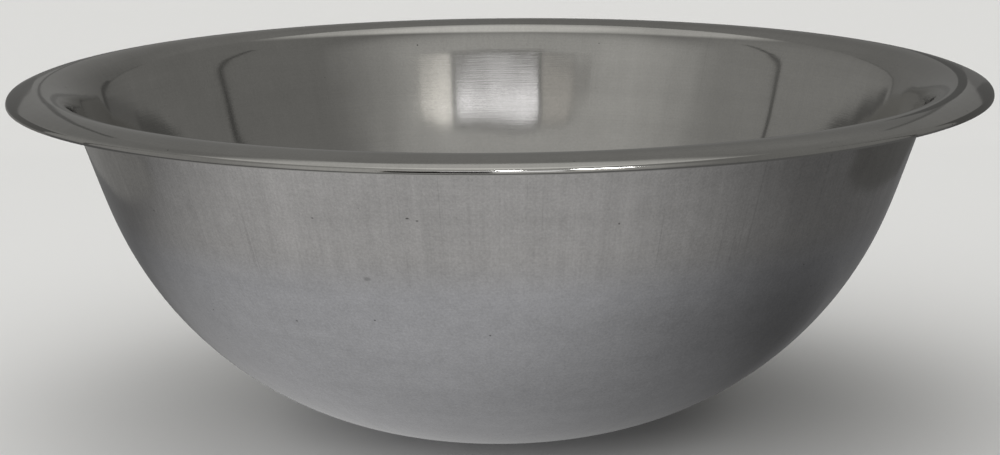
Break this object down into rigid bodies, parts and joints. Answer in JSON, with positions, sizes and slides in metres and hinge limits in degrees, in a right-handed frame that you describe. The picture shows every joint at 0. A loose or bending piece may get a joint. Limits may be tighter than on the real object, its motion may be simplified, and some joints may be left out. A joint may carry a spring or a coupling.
{
  "type": "mixing bowl",
  "caption": "Wide, shallow round mixing bowl in thin stainless sheet, with a flat base, a smoothly curved wall, and a rolled shoulder with a sloping rim and turned-down edge.",
  "frame": {"origin": "centre of the under face of the flat base, on the bowl's axis", "axes": "+Z along the bowl's axis, up out of its mouth; X and Y any two directions across it"},
  "size_m": [0.45, 0.45, 0.1609],
  "materials": {
    "steel": "satin-polished stainless steel with faint draw marks"
  },
  "bodies": {
    "root": {"bowl": "steel"}
  },
  "joints": []
}
